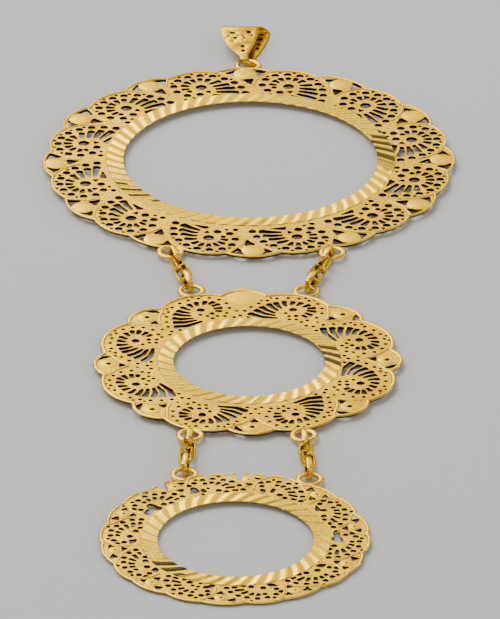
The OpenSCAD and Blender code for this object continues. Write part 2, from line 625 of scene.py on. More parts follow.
@dataclass(frozen=True)
class Patch:
    """A gap with a few corners, which are cut off a little."""

    corners: tuple[Point, ...]
    soft: float = 0.12

    def outline(self) -> Line:
        """Draw the hole's edge.

        Returns:
            The edge, two points to a corner.
        """
        count = len(self.corners)
        middle = [sum(corner[axis] for corner in self.corners) / count for axis in (0, 1)]
        wide = [
            [between(middle[axis], corner[axis], OPEN_PATCH) for axis in (0, 1)] for corner in self.corners
        ]
        line: Line = []
        for i, (x, y) in enumerate(wide):
            for other in (wide[i - 1], wide[(i + 1) % count]):
                line.append((between(x, other[0], self.soft), between(y, other[1], self.soft)))
        return line


Hole = Round | Slot | Patch


def patch(*corners: Point) -> Patch:
    """A gap with these corners."""
    return Patch(corners)


def rays(near: float, near_width: float, *tips: Station) -> tuple[Slot, ...]:
    """Straight slots that point away from the centre.

    Args:
        near: where they begin, from the centre.
        near_width: their width there.
        tips: for each its turn in degrees clockwise from outwards, its far end, and its width there.

    Returns:
        The slots.
    """
    made = []
    for turn, far, width in tips:
        across, out = math.sin(math.radians(turn)), math.cos(math.radians(turn))
        made.append(Slot(((across * near, out * near, near_width), (across * far, out * far, width))))
    return tuple(made)


def rounds(width: float, *spots: Point) -> tuple[Round, ...]:
    """Round holes of one width."""
    sides = Round.sides if width > SMALL_WIDTH else SMALL_SIDES
    return tuple(Round(x, y, width, sides) for x, y in spots)


@dataclass(frozen=True)
class Streak:
    """A streak along one facet, a painted dark reflection.

    Its turn is that of its inner end and its width is in degrees. Near and far are how far across the ring
    it begins and ends, from 0 to 1.
    """

    turn: float
    width: float
    near: float = 0.0
    far: float = 1.0
    tone: float = 0.99

    def shade(self, turn: float, row: float) -> float:
        """How dark the streak makes a face, by its turn without the slant and its row from 0 to 1."""
        off = abs((turn - self.turn + 180) % 360 - 180)
        return self.tone if off < self.width / 2 and self.near <= row <= self.far else 0.0


@dataclass(frozen=True)
class CutRing:
    """The bright ring round an opening, cut into slanted facets.

    Its tone is a little uneven: stride and layer are where the noise for it is taken.
    """

    inner: float
    width: float
    facets: int
    slant: float
    depth: float
    # Facets painted dark, as reflections of dark surroundings
    streaks: tuple[Streak, ...] = ()
    foot: float = 0.32
    top: float = 0.48
    chamfer: float = 0.06
    shoulder: float = 0.07
    rows: tuple[float, ...] = (0.2, 0.4, 0.6, 0.8)
    columns: int = 6
    sharp: float = 30
    tone: float = 0.06
    uneven: float = 0.1
    stride: float = 7.3
    layer: float = 0.5

    def make(self, name: str) -> Piece:
        """Draw the ring up and outwards from its inner edge, row by row, then cut its facets.

        Args:
            name: the ring's name.

        Returns:
            The ring, round the origin.
        """
        outer, top, side = self.inner + self.width, self.top, self.top - self.chamfer
        rows = [(self.inner, self.foot), (self.inner, side), (self.inner + self.shoulder, top)]
        rows += [(self.inner + self.width * share, top) for share in self.rows]
        rows += [(outer - self.shoulder, top), (outer, side), (outer, self.foot)]
        count = self.columns * self.facets
        Bench.clear()
        bpy.ops.mesh.primitive_circle_add(
            vertices=count, radius=self.inner * MM, location=(0, 0, rows[0][1] * MM), fill_type="NOTHING"
        )
        ring = Bench.settle(bpy.context.object, Matrix())
        Bench.edit(ring)
        for (radius, height), (last_radius, last_height) in zip(rows[1:], rows):
            Bench.draw_up(height - last_height, radius / last_radius, height)
        Bench.open_edges()
        bpy.ops.mesh.bridge_edge_loops()
        Bench.leave()
        self._cut(ring, count)
        Bench.weld(ring)
        Bench.smooth(ring, self.sharp)
        Bench.tone(ring, self._shade)
        ring.name = ring.data.name = name
        return ring

    def _cut(self, ring: Piece, count: int) -> None:
        """Slant the rows and press the top down between the facets' ridges.

        Args:
            ring: the plain ring.
            count: points round it.
        """
        for spot in ring.data.vertices:
            radius = math.hypot(spot.co.x, spot.co.y) / MM
            turn = math.degrees(math.atan2(spot.co.y, spot.co.x))
            if spot.co.z > (self.top - self.shoulder) * MM:
                share = round(turn * count / 360) % self.columns / self.columns
                spot.co.z -= self.depth * (1 - abs(2 * share - 1)) * MM
            slant = -self.slant * (radius - self.inner) / self.width
            spot.co = Matrix.Rotation(math.radians(slant), 3, "Z") @ spot.co

    def _shade(self, face: Face) -> float:
        """How dark a face is: the painted dark reflections, and a slight unevenness from facet to facet.

        Args:
            face: a face of the ring.

        Returns:
            Its tone.
        """
        x, y, _ = face.center
        row = (math.hypot(x, y) / MM - self.inner) / self.width
        turn = (math.degrees(math.atan2(y, x)) + self.slant * row) % 360
        facet = math.floor(turn / 360 * self.facets * 2)
        uneven = self.tone + self.uneven * noise.noise(Vector((facet * self.stride, self.inner, self.layer)))
        return max(0.0, uneven, *(streak.shade(turn, row) for streak in self.streaks))


@dataclass(frozen=True)
class Notch:
    """A break in the rim: its turn, its width in degrees and how deep it goes into the sheet."""

    turn: float
    width: float
    depth: float

    def cut(self, turn: float) -> float:
        """How deep the break goes at a turn: deepest in its middle, and nothing past its ends."""
        off = abs((turn - self.turn + 180) % 360 - 180) / (self.width / 2)
        return self.depth * max(0.0, 1 - off * off)


@dataclass(frozen=True)
class Discs:
    """The domed discs between the rosettes, with the gaps round each.

    Lost holds the disc and the gap of each gap that a break in the rim has run into. Plain lists the wider
    discs that have no hole, gaps or arms. The arms are the wires that part a disc from the rosettes beside
    it, at a share of the rim's girth.
    """

    radius: float
    turn: float
    width: float
    rise: float
    hole: float
    gaps: tuple[Hole, ...]
    lost: tuple[tuple[int, int], ...] = ()
    plain: tuple[int, ...] = ()
    plain_width: float = 5.0
    plain_radius: float = 20.2
    arms: tuple[tuple[Point, ...], ...] = ()
    arm_girth: float = 0.75


@dataclass(frozen=True)
class Tier:
    """One tier: its sizes in millimetres, and its chart of holes.

    Everything is drawn round the opening's centre. The rosettes and discs lie round the pattern's centre.
    The rim's wire lies over the sheet's edge by the share rim_cover of its width. Where worn is given, it
    tells the holes of each rosette.
    """

    name: str
    node: str
    centre: Point
    pattern: Point
    count: int
    rosette_radius: float
    rosette_turn: float
    scallop_turn: float
    scallop_out: float
    scallop_radius: float
    disc_scallop_out: float
    disc_scallop_radius: float
    sheet_radius: float
    holes: tuple[Hole, ...]
    discs: Discs
    ring: CutRing
    loops: tuple[Point, ...]
    rim: float
    rim_cover: float = 0.55
    lean_from: float = 0.0
    lean: float = 0.0
    lift: float = 0.55
    sheet_top: float = 0.35
    sheet_under: float = 0.1
    worn: Callable[["Tier", int], tuple[Hole, ...]] | None = None
    notches: tuple[Notch, ...] = ()

    def place(self) -> Matrix:
        """Where the tier lies: flat over the surface, or leaning on its lower edge.

        Returns:
            The place.
        """
        x, y = self.centre
        if not self.lean:
            return moved(x, y, self.lift)
        edge = self.lean_from * MM
        return (
            Matrix.Translation((x * MM, y * MM + edge, 0))
            @ Matrix.Rotation(math.radians(self.lean), 4, "X")
            @ Matrix.Translation((0, -edge, 0))
        )

    def turns(self, first: float) -> list[float]:
        """The turns of what repeats round the tier."""
        return [first + 360 * i / self.count for i in range(self.count)]

    def scallops(self) -> list[tuple[Point, float, float]]:
        """Place the scallops, those of the rosettes first.

        Returns:
            Centre, radius and turn of each, the centre from that of the pattern.
        """
        kinds = (
            (self.scallop_out, self.scallop_radius, self.scallop_turn),
            (self.disc_scallop_out, self.disc_scallop_radius, self.discs.turn),
        )
        return [
            (polar(out, turn), radius, turn) for out, radius, first in kinds for turn in self.turns(first)
        ]

    def edge(self, turn: float) -> float:
        """How far the outermost scallop reaches in a direction from the pattern's centre.

        Args:
            turn: the direction, in degrees.

        Returns:
            The reach, in millimetres.
        """
        way = Vector(polar(1, turn))
        reach = self.sheet_radius
        for centre, radius, _ in self.scallops():
            along = way.dot(Vector(centre))
            off = way.x * centre[1] - way.y * centre[0]
            if along > 0 and abs(off) < radius:
                reach = max(reach, along + math.sqrt(radius * radius - off * off))
        return reach

    def outline(self, steps: int) -> Line:
        """Draw the sheet's outer edge under the middle of the rims, with its breaks.

        Args:
            steps: points on it.

        Returns:
            The edge.
        """
        line: Line = []
        for turn in (360 * step / steps for step in range(steps)):
            broken = max((notch.cut(turn) for notch in self.notches), default=0.0)
            line.append(polar(self.edge(turn) - self.rim * self.rim_cover - broken, turn))
        return self.shift(line)

    def shift(self, line: Iterable[Point]) -> Line:
        """Move a line from the pattern's centre to the opening's."""
        return [(x + self.pattern[0], y + self.pattern[1]) for x, y in line]

    def lay(self, line: Iterable[Point], radius: float, turn: float) -> Line:
        """Turn a line, across and outwards, to its rosette or disc."""
        out, across = Vector(polar(1, turn)), Vector(polar(1, turn - 90))
        return self.shift(tuple(out * (radius + y) + across * x) for x, y in line)


@dataclass(frozen=True)
class TierMaker:
    """Makes the pieces of one tier. Its sizes are in millimetres."""

    tier: Tier
    # The sheet: its broken edges, how far it stays back from its lines, and points on its two edges
    edge: float = 0.03
    eaten: float = 0.04
    edge_steps: int = 720
    inner_steps: int = 120
    # The rims: their height, degrees to a step, steps each way, how far under the outer edge a rim may run,
    # and how deep a break parts it
    rim_height: float = 0.3
    arc_step: float = 1.5
    arc_reach: int = 75
    rim_hidden: float = 0.3
    rim_break: float = 0.15
    wire_sharp: float = 60
    # The domed discs: sides, depth of the foot, height of the rim, share of the width left at the pole, where
    # the rows lie, how they crowd outwards, and how soon the middle is flat
    dome_sides: int = 32
    dome_foot: float = 0.1
    dome_step: float = 0.02
    dome_pole: float = 0.04
    dome_rows: tuple[float, ...] = (0.0, 0.3, 0.55, 0.75, 0.9, 1.0)
    dome_crowd: float = 1.6
    dome_flat: float = 1.1
    dome_sharp: float = 50
    # The loops: radius to the wire's middle, the wire's radius, its flatness, height, and steps each way
    loop_radius: float = 1.6
    loop_wire: float = 0.45
    loop_flat: float = 0.56
    loop_height: float = 0.2
    loop_steps: tuple[int, int] = (40, 14)

    def make(self) -> list[Piece]:
        """Make and dress every piece of the tier.

        Returns:
            The pieces, the sheet first.
        """
        sheet = Bench.dress(self._sheet(), Finish.SHEET.material(), "tiers")
        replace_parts(sheet, self.tier.node)
        return [
            sheet,
            Bench.dress(self._rims(), Finish.RIM.material(), "tiers"),
            Bench.dress(self._discs(), Finish.DISC.material(), "tiers"),
            Bench.dress(self._ring(), Finish.CUT.material(), "tiers"),
            Bench.dress(self._loops(), Finish.RIM.material(), "tiers"),
        ]

    def _sheet(self) -> Piece:
        """Cut the sheet through at each hole of the chart.

        Returns:
            The pierced sheet.
        """
        tier, work = self.tier, FlatWork(f"{self.tier.name}_sheet", filled=True)
        work.line(tier.outline(self.edge_steps))
        inner = tier.ring.inner + tier.ring.width / 2
        work.line([polar(inner, 360 * i / self.inner_steps) for i in range(self.inner_steps)])
        for i, turn in enumerate(tier.turns(tier.rosette_turn)):
            holes = tier.worn(tier, i) if tier.worn else tier.holes
            for hole in holes:
                work.line(tier.lay(hole.outline(), tier.rosette_radius, turn))
        discs = tier.discs
        for i, turn in enumerate(tier.turns(discs.turn)):
            if i in discs.plain:
                continue
            gaps = [gap for number, gap in enumerate(discs.gaps) if (i, number) not in discs.lost]
            if discs.hole:
                gaps.append(Round(0, 0, discs.hole))
            for gap in gaps:
                work.line(tier.lay(gap.outline(), discs.radius, turn))
        sheet = work.plate(tier.sheet_top + tier.sheet_under, self.edge, self.eaten)
        return Bench.settle(sheet, tier.place() @ moved(0, 0, -tier.sheet_under))

    def _rims(self) -> Piece:
        """Lay wire round each scallop, as far as it shows, with its breaks, and between discs and rosettes.

        Returns:
            The wire.
        """
        tier, work = self.tier, FlatWork(f"{self.tier.name}_rims", filled=False)
        for centre, radius, turn in tier.scallops():
            lines: list[Line] = [[]]
            for step in range(-self.arc_reach, self.arc_reach + 1):
                way = Vector(polar(1, turn + self.arc_step * step))
                tip = Vector(centre) + way * radius
                at = math.degrees(math.atan2(tip.y, tip.x))
                whole = all(notch.cut(at) <= self.rim_break for notch in tier.notches)
                if whole and tip.length > tier.edge(at) - self.rim_hidden:
                    lines[-1].append(tuple(Vector(centre) + way * (radius - tier.rim / 2)))
                elif lines[-1]:
                    lines.append([])
            for line in lines:
                if len(line) > 1:
                    work.line(tier.shift(line), closed=False)
        discs = tier.discs
        for i, turn in enumerate(tier.turns(discs.turn)):
            for arm in () if i in discs.plain else discs.arms:
                work.line(tier.lay(arm, discs.radius, turn), closed=False, girth=discs.arm_girth)
        rims = work.wire(tier.rim, self.rim_height)
        Bench.smooth(rims, self.wire_sharp)
        return Bench.settle(rims, tier.place() @ moved(0, 0, tier.sheet_top))

    def _copies(self, kind: str, patterns: list[Piece], spots: Iterable[Point], height: float) -> Piece:
        """Set a copy of a pattern on each spot, join the copies and throw the patterns away.

        Args:
            kind: what they are, for their names.
            patterns: which pattern goes on each spot.
            spots: where they go, from the opening's centre.
            height: of their base, in millimetres.

        Returns:
            All of them as one piece.
        """
        name = f"{self.tier.name}_{kind}"
        made, used = [], []
        for i, (pattern, (x, y)) in enumerate(zip(patterns, spots)):
            made.append(Bench.settle(Bench.copy(pattern, f"{name}_{i}"), moved(x, y, height)))
            if pattern not in used:
                used.append(pattern)
        for pattern in used:
            bpy.data.objects.remove(pattern)
        return Bench.join(made, f"{name}s")

    def _discs(self) -> Piece:
        """Set a domed disc on each place.

        Returns:
            The discs.
        """
        tier, discs = self.tier, self.tier.discs
        first = self._dome(discs.width, discs.rise, discs.hole)
        plain = self._dome(discs.plain_width, discs.rise, 0.0) if discs.plain else first
        patterns, spots = [], []
        for i, turn in enumerate(tier.turns(discs.turn)):
            pattern, radius = (plain, discs.plain_radius) if i in discs.plain else (first, discs.radius)
            patterns.append(pattern)
            spots.append(polar(radius, turn))
        whole = self._copies("disc", patterns, tier.shift(spots), tier.sheet_top)
        Bench.smooth(whole, self.dome_sharp)
        return Bench.settle(whole, tier.place())

    def _dome(self, width: float, rise: float, hole: float) -> Piece:
        """Turn one low dome, closed below, with or without a hole.

        Args:
            width: over all.
            rise: height over the sheet.
            hole: width of its hole, or 0.

        Returns:
            The dome, its base a little under height 0.
        """
        Bench.clear()
        bpy.ops.mesh.primitive_circle_add(
            vertices=self.dome_sides, radius=width / 2 * MM, fill_type="NOTHING"
        )
        dome = bpy.context.object
        Bench.edit(dome)
        bpy.ops.transform.translate(value=(0, 0, -self.dome_foot * MM))
        last_radius, last_height = width / 2, -self.dome_foot
        inner = hole / 2 if hole else width * self.dome_pole
        for share in self.dome_rows:
            radius = between(width / 2, inner, share**self.dome_crowd if share else 0.0)
            height = rise * math.sin(math.radians(90 * min(1.0, share * self.dome_flat)))
            height += 0 if share else self.dome_step
            Bench.draw_up(height - last_height, radius / last_radius, height)
            last_radius, last_height = radius, height
        if hole:
            Bench.draw_up(-self.dome_foot - last_height)
            Bench.open_edges()
            bpy.ops.mesh.bridge_edge_loops()
        else:
            bpy.ops.mesh.edge_face_add()
            Bench.open_edges()
            bpy.ops.mesh.edge_face_add()
        Bench.leave()
        Bench.weld(dome)
        return dome

    def _ring(self) -> Piece:
        """The cut ring, in its place."""
        return Bench.settle(self.tier.ring.make(f"{self.tier.name}_cut_ring"), self.tier.place())

    def _loops(self) -> Piece:
        """Bend one soldered wire loop and copy it to each place.

        Returns:
            The loops.
        """
        tier = self.tier
        Bench.clear()
        bpy.ops.mesh.primitive_torus_add(
            major_radius=self.loop_radius * MM,
            minor_radius=self.loop_wire * MM,
            major_segments=self.loop_steps[0],
            minor_segments=self.loop_steps[1],
        )
        first = Bench.settle(bpy.context.object, Matrix.Diagonal((1, 1, self.loop_flat, 1)))
        whole = self._copies("loop", [first] * len(tier.loops), tier.loops, self.loop_height)
        Bench.smooth(whole, self.wire_sharp)
        return Bench.settle(whole, tier.place())


@dataclass(frozen=True)
class Chain:
    """A chain of four strip links between two loops.

    Start and end are the loops' places, and sense is the way that the links turn about the chain.
    """

    name: str
    start: Point
    end: Point
    sense: int
    count: int = 4
    length: float = 3.75
    width: float = 2.4
    strip: float = 0.85
    thickness: float = 0.35
    loop_hole: float = 2.3
    turn: float = 84.0
    drop: float = 0.08
    sides: int = 48
    corner: float = 0.6
    inset: float = 0.09
    spare: float = 0.02
    rounding: float = 0.1
    sharp: float = 50
    crowd: float = 1.6
    dome: tuple[float, ...] = (1.035, 1.015, 1 / 1.015, 1 / 1.035)
    inner_from: float = 0.2
    # How much painted shade the faces inside each link take
    inner_shade: float = 0.55

    def link(self) -> Piece:
        """Bend one link: a strip, its outside a little domed, its edges rounded.

        Returns:
            The link, a rounded oblong standing on its edge round the origin.
        """
        Bench.clear()
        bpy.ops.mesh.primitive_circle_add(vertices=self.sides, radius=MM, fill_type="NOTHING")
        link = bpy.context.object
        halves = [size / 2 - self.inset - self.corner for size in (self.length, self.width)]
        for spot in link.data.vertices:
            for axis, half in enumerate(halves):
                at = spot.co[axis] / MM
                shift = math.copysign(half, at) * min(1, abs(at) * self.crowd)
                spot.co[axis] = (shift + self.corner * at) * MM
        Bench.edit(link)
        bpy.ops.transform.translate(value=(0, 0, -self.strip / 2 * MM))
        for grow in self.dome:
            Bench.draw_up(self.strip / len(self.dome), grow)
        bpy.ops.mesh.select_all(action="SELECT")
        bpy.ops.mesh.normals_make_consistent(inside=False)
        Bench.leave()
        wall, edge, angle = (self.thickness - self.spare) * MM, self.rounding * MM, math.radians(self.sharp)
        Bench.modify(link, "SOLIDIFY", thickness=wall, offset=-1.0, use_even_offset=True)
        Bench.modify(link, "BEVEL", width=edge, segments=2, limit_method="ANGLE", angle_limit=angle)
        Bench.weld(link)
        Bench.smooth(link, self.sharp)
        Bench.tone(link, self._shade)
        return link

    def _shade(self, face: Face) -> float:
        """The tone of a face: painted shade where it looks inwards, more than inner_from of the way."""
        inwards = -face.normal.to_2d().dot(face.center.to_2d().normalized())
        return 0.0 if inwards < self.inner_from else self.inner_shade

    def make(self) -> list[Piece]:
        """Hang the links through one another, the slack shared among the joins.

        Returns:
            The links, from the upper loop down.
        """
        hole_l = self.length - 2 * self.thickness
        span = Vector(self.end) - Vector(self.start)
        slack = (self.loop_hole + self.count * hole_l - span.length) / (self.count + 1)
        tilt = math.radians(self.turn)
        level = self.width / 2 * math.sin(tilt) + self.strip / 2 * math.cos(tilt)
        first, made = self.link(), []
        for i in range(self.count):
            along = self.loop_hole / 2 - slack + hole_l / 2 + i * (hole_l - slack)
            turn = self.turn + i * (360 - 2 * self.turn) / (self.count - 1)
            height = level - (self.drop if 0 < i < self.count - 1 else 0)
            place = (
                moved(*self.start, height)
                @ Matrix.Rotation(math.atan2(span.y, span.x), 4, "Z")
                @ moved(along, 0)
                @ Matrix.Rotation(math.radians(self.sense * turn), 4, "X")
            )
            name = f"{self.name}_{i + 1}"
            twin = Bench.settle(Bench.copy(first, f"{name}_strip"), place)
            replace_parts(Bench.dress(twin, Finish.LINK.material(), "links"), name)
            made.append(twin)
        bpy.data.objects.remove(first)
        return made


@dataclass(frozen=True)
class LeafBail:
    """The folded leaf bail: its holes, across, up and width from the top loop's centre.

    The front and back holes are drilled here, between two heights, and the large ones are in the solid. Eye
    and fold give how far up and how high the middle between the leaves lies at the loop and at the fold. A
    face that looks up by less than wall_below is a wall, and one by more than leaf_above is a leaf's side.
    """

    node: str
    loop: Point
    front: tuple[Station, ...]
    back: tuple[Station, ...]
    large: tuple[Station, ...]
    front_reach: Pair = (1.4, 4.0)
    back_reach: Pair = (-1.0, 0.8)
    drill_sides: int = 16
    eye: Pair = (1.15, 0.8)
    fold: Pair = (10.4, 1.15)
    edge: float = 0.06
    edge_angle: float = 40
    sharp: float = 35
    wall_below: float = 0.5
    # Painted shade on the holes' walls, and inside the fold between the leaves
    hole_shade: float = 0.97
    leaf_above: float = 0.3
    fold_shade: float = 0.3

    def make(self) -> list[Piece]:
        """Take the folded leaf from the solid, pierce its small holes and break its edges.

        Returns:
            The leaf alone.
        """
        leaf = Bench.copy(frame["nodes"][self.node], "bail_leaf")
        leaf.parent = None
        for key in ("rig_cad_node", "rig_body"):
            if key in leaf:
                del leaf[key]
        Bench.weld(leaf)
        self._pierce(leaf, self.front, *self.front_reach)
        self._pierce(leaf, self.back, *self.back_reach)
        angle = math.radians(self.edge_angle)
        Bench.modify(leaf, "BEVEL", width=self.edge * MM, segments=2, limit_method="ANGLE", angle_limit=angle)
        Bench.smooth(leaf, self.sharp)
        Bench.tone(leaf, self._shade)
        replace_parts(Bench.dress(leaf, Finish.BAIL.material(), "bail"), self.node)
        return [leaf]

    def _shade(self, face: Face) -> float:
        """How dark a face is: painted shade on the holes' walls, and lighter painted shade inside the fold.

        Args:
            face: a face of the leaf.

        Returns:
            Its tone.
        """
        x, y = face.center.x / MM - self.loop[0], face.center.y / MM - self.loop[1]
        facing = abs(face.normal.z)
        holes = self.front + self.back + self.large
        near = any(math.hypot(x - hole[0], y - hole[1]) < hole[2] / 2 + self.edge for hole in holes)
        if facing < self.wall_below and near:
            return self.hole_shade
        level = between(self.eye[1], self.fold[1], (y - self.eye[0]) / (self.fold[0] - self.eye[0]))
        inside = (face.center.z / MM - level) * face.normal.z < 0
        return self.fold_shade if inside and facing > self.leaf_above else 0.0

    def _pierce(self, leaf: Piece, holes: Iterable[Station], low: float, high: float) -> None:
        """Cut round holes between two heights.

        Args:
            leaf: the bail.
            holes: across, up and width.
            low: the lower end of the drills, in millimetres.
            high: their upper end.
        """
        drills = []
        for across, up, width in holes:
            Bench.clear()
            bpy.ops.mesh.primitive_cylinder_add(
                vertices=self.drill_sides,
                radius=width / 2 * MM,
                depth=(high - low) * MM,
                location=((self.loop[0] + across) * MM, (self.loop[1] + up) * MM, (low + high) / 2 * MM),
            )
            drills.append(bpy.context.object)
        drill = Bench.join(drills, "drill")
        Bench.modify(leaf, "BOOLEAN", object=drill, operation="DIFFERENCE", solver="EXACT")
        bpy.data.objects.remove(drill)


TOP = Tier(
    name="top",
    node="top_frame",
    centre=(0.22, 46.55),
    pattern=(-0.25, -0.65),
    count=12,
    rosette_radius=24.75,
    rosette_turn=16.4,
    scallop_turn=16.6,
    scallop_out=22.3,
    scallop_radius=7.5,
    disc_scallop_out=22.9,
    disc_scallop_radius=7.2,
    sheet_radius=25.0,
    holes=(
        Round(0, 0, 1.35, 20),
        *rounds(
            0.95,
            (-2.68, -1.94), (-3.84, -0.45), (-3.8, 1.38), (-2.73, 2.95), (-1.0, 3.64), (0.85, 3.62),
            (2.6, 2.98), (4.05, 1.7), (5.1, 0.12), (5.62, -1.62), (5.75, -3.4), (-0.8, -2.14),
        ),
        *rounds(
            0.42,
            (-0.2, 4.35), (-2.2, 3.95), (-3.75, 2.42), (1.85, 3.9), (3.55, 2.85), (4.95, 1.25),
            (-1.94, -3.05),
        ),
        *rounds(0.65, (-3.2, -3.3), (-1.98, -0.8)),
        patch((0.2, -1.55), (0.95, -1.3), (0.75, -2.1)),
        *rays(
            1.75, 0.35,
            (-89, 2.95, 0.55), (-63, 3.05, 0.65), (-39, 3.05, 0.7), (-14, 2.95, 0.65), (12, 3.0, 0.65),
            (38, 3.1, 0.7),
        ),
        Slot(((1.5, 0.7, 0.35), (3.35, 1.2, 0.75))),
        Slot(((1.7, -0.2, 0.35), (3.0, -0.15, 0.6), (4.25, -0.2, 0.8))),
        Slot(((1.85, -1.1, 0.35), (3.3, -1.25, 0.65), (4.75, -1.6, 0.85))),
        Slot(((1.75, -2.0, 0.4), (3.3, -2.45, 0.65), (4.85, -3.2, 0.9))),
        patch((1.2, -2.6), (0.75, -3.4), (3.0, -3.45)),
    ),
    discs=Discs(
        radius=28.1,
        turn=1.2,
        width=3.3,
        rise=0.1,
        hole=0.0,
        gaps=(
            patch((3.15, 0.75), (2.1, -0.85), (1.2, 1.3)),
            patch((-1.2, 1.3), (-1.65, -0.55), (-2.8, 0.3)),
            patch((1.15, -1.6), (0.8, -3.35), (-0.35, -1.9)),
        ),
        arms=(
            ((-3.75, 0.5), (-2.75, -0.25), (-1.75, -1.0), (-0.9, -2.2), (-0.3, -3.5)),
            ((3.6, 0.9), (2.4, -0.85), (1.65, -1.7), (1.2, -3.6)),
        ),
    ),
    ring=CutRing(
        inner=18.5, width=2.55, facets=60, slant=5.2, depth=0.1,
        streaks=(
            Streak(-153.8, 2.0, 0.4), Streak(-147.8, 2.0), Streak(-141.8, 2.0),
            Streak(-135.4, 2.2, 0.0, 0.45), Streak(-88, 1.6, 0.55, 1.0, 0.5),
            Streak(-82, 1.6, 0.2, 0.8, 0.35), Streak(-6.6, 2.4, 0.3, 0.75, 0.6),
            Streak(-1.0, 3.2, 0.1, 1.0, 0.7), Streak(5, 3.2), Streak(11.4, 3.2), Streak(17.6, 3.2),
            Streak(23.4, 3.0, 0.25), Streak(29.4, 2.4, 0.7),
        ),
    ),
    loops=((-0.39, 30.4), (-11.6, -28.9), (11.8, -29.15)),
    rim=0.46,
)

MIDDLE = Tier(
    name="middle",
    node="mid_frame",
    centre=(0.03, -16.45),
    pattern=(-0.2, -0.25),
    count=8,
    rosette_radius=17.35,
    rosette_turn=23.0,
    scallop_turn=23.2,
    scallop_out=14.6,
    scallop_radius=7.6,
    disc_scallop_out=17.7,
    disc_scallop_radius=4.5,
    sheet_radius=17.5,
    holes=(
        Round(0, 0, 0.95, 16),
        Slot(((-1.1, -3.2, 0.3), (-3.6, -3.75, 0.6), (-5.6, -3.35, 0.8))),
        Slot(((-1.7, -2.6, 0.3), (-3.56, -2.6, 0.55), (-5.2, -2.0, 0.75))),
        Slot(((-1.96, -1.92, 0.3), (-3.56, -1.5, 0.55), (-4.75, -0.75, 0.7))),
        Slot(((-1.9, -1.1, 0.3), (-3.0, -0.45, 0.5), (-4.1, 0.45, 0.7))),
        Slot(((-1.7, -0.3, 0.3), (-2.6, 0.43, 0.5), (-3.25, 1.25, 0.65))),
        Slot(((-1.35, 0.6, 0.3), (-1.9, 1.3, 0.45), (-2.2, 2.1, 0.6))),
        Slot(((-0.8, 1.2, 0.35), (-0.9, 2.5, 0.6))),
        Slot(((0.06, 1.3, 0.35), (0.35, 2.65, 0.6))),
        Slot(((1.0, 1.35, 0.35), (1.75, 2.4, 0.6))),
        Slot(((1.7, 1.1, 0.35), (2.85, 1.75, 0.6))),
        Slot(((1.9, 0.5, 0.35), (3.3, 0.7, 0.6))),
        Slot(((1.9, -0.25, 0.35), (3.2, -0.55, 0.55))),
        Slot(((1.8, -1.0, 0.35), (2.7, -1.45, 0.5))),
        *rounds(0.55, (1.1, -1.6)),
        *rounds(
            0.45,
            (-6.3, -2.9), (-5.95, -1.45), (-5.35, 0.0), (-4.5, 1.28), (-3.45, 2.35), (-1.96, 3.1),
            (-0.47, 3.5), (1.1, 3.45), (2.62, 3.0), (3.7, 1.96), (4.25, 0.55), (4.05, -1.0), (3.1, -2.27),
            (-0.6, -1.35), (0.2, -2.05), (1.53, -2.6), (0.6, -2.95), (2.5, -3.05), (3.6, -3.85), (4.6, -3.7),
            (-5.1, -4.5),
        ),
        *rounds(0.35, (0.35, 4.0), (1.75, 3.9), (-5.3, 0.95), (-4.3, 2.2), (4.7, -2.2)),
    ),
    discs=Discs(
        radius=19.9,
        turn=1.8,
        width=2.6,
        rise=0.08,
        hole=0.8,
        gaps=(
            patch((1.35, 1.35), (1.95, 1.1), (2.5, 0.55), (2.3, -0.35), (1.7, 0.5)),
            patch((-0.95, -1.55), (0.2, -1.55), (-0.4, -2.5)),
        ),
        arms=(
            ((-3.4, 0.4), (-2.75, -0.25), (-2.1, -0.85), (-1.35, -1.7), (-0.65, -2.8)),
            ((3.4, 0.1), (2.4, -0.6), (1.3, -1.2), (0.5, -1.95), (-0.15, -2.85)),
        ),
        plain=(2,),
    ),
    ring=CutRing(
        inner=10.8, width=2.4, facets=36, slant=8.3, depth=0.12,
        streaks=(
            Streak(3.4, 6.6), Streak(13.4, 6.6), Streak(23.6, 6.6, 0.1), Streak(-5.5, 3.0, 0.0, 0.3, 0.5),
            Streak(-80.5, 2.6, 0.1, 0.7, 0.8), Streak(-124.6, 3.0, 0.3, 0.9, 0.25),
            Streak(123, 2.6, 0.1, 0.7, 0.25), Streak(142.3, 2.6, 0.2, 0.7, 0.2),
        ),
    ),
    loops=((-8.35, 21.9), (8.2, 21.7), (-8.4, -22.35), (7.75, -22.35)),
    rim=0.64,
)

# The bottom tier leans on its lower edge, and its left loop lies as high as the other tiers
LOW_EDGE = -19.35
LOW_LOOPS = ((-7.25, 19.05), (10.5, 17.6))
# What every rosette of the bottom tier has, the hole beside its middle, and its middle where it is whole
LOW_HOLES: tuple[Hole, ...] = (
    *rounds(
        0.68,
        (-2.18, 1.65), (-1.28, 2.2), (0.12, 2.75), (1.58, 2.7), (2.94, 2.0), (4.0, 1.2), (4.75, -0.1),
        (4.95, -1.4), (2.5, -1.35),
    ),
    *rounds(0.74, (1.54, -0.75)),
    *rounds(0.46, (-0.8, 3.05), (2.6, 3.2)),
    Slot(((0.15, 1.4, 0.36), (0.3, 2.05, 0.5))),
    Slot(((0.95, 1.3, 0.34), (1.35, 2.05, 0.48))),
    Slot(((1.65, 0.95, 0.34), (2.35, 1.6, 0.48))),
    Slot(((2.3, 0.36, 0.32), (3.35, 0.82, 0.48))),
    Slot(((2.65, -0.25, 0.32), (4.05, -0.35, 0.48))),
    Slot(((3.4, -1.15, 0.34), (4.25, -1.35, 0.44))),
)
LOW_SIDE = Round(-1.73, 0.75, 0.66)
LOW_HEART: tuple[Hole, ...] = (
    LOW_SIDE,
    Round(0, 0, 0.76, 14),
    patch((-2.1, -0.15), (-1.1, -0.02), (-0.82, -0.9), (-1.55, -0.9)),
)
